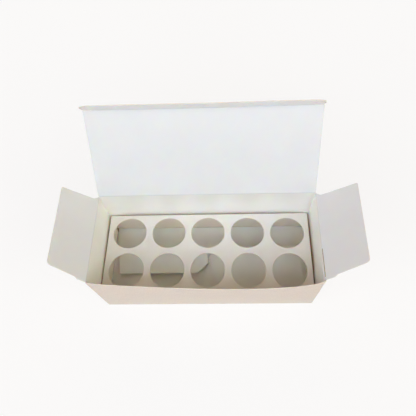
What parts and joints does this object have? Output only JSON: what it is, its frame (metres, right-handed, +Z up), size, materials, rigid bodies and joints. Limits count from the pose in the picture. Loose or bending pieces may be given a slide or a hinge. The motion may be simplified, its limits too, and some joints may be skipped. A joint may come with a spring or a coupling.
{
  "type": "vial carton with tray",
  "caption": "Low tuck-top paperboard carton, open, with a die-cut tray that holds small round vials upright.",
  "frame": {"origin": "middle of the carton's base, on the plane that it stands on", "axes": "+Z up, +X to the right along the carton's width, front wall at -Y, lid hinged at +Y"},
  "size_m": [0.1788, 0.0933, 0.1133],
  "materials": {
    "printed_board": "satin",
    "coated_board": "satin",
    "tray_board": "satin"
  },
  "bodies": {
    "carton": {"carton_body": "printed_board", "vial_tray": "tray_board"},
    "lid": {"lid": "coated_board"},
    "tuck": {"tuck_flap": "coated_board"},
    "dust_left": {"dust_flap_left": "coated_board"},
    "dust_right": {"dust_flap_right": "coated_board"}
  },
  "joints": [
    {"name": "lid_crease", "type": "hinge", "parent": "carton", "child": "lid", "pos_m": [0, 0.0288, 0.052], "axis": [1, 0, 0], "range_deg": [-57.5, 122.5]},
    {"name": "tuck_crease", "type": "hinge", "parent": "lid", "child": "tuck", "pos_m": [0, 0.05948, 0.10016], "axis": [1, 0, 0], "range_deg": [-18, 38]},
    {"name": "dust_right_crease", "type": "hinge", "parent": "carton", "child": "dust_right", "pos_m": [0.0698, 0, 0.0513], "axis": [0, -1, 0], "range_deg": [-38, 142]},
    {"name": "dust_left_crease", "type": "hinge", "parent": "carton", "child": "dust_left", "pos_m": [-0.0698, 0, 0.0513], "axis": [0, 1, 0], "range_deg": [-47, 133]}
  ],
  "couplings": [
    {"joint": "tuck_crease", "follows": "lid_crease", "ratio": 0.305}
  ]
}
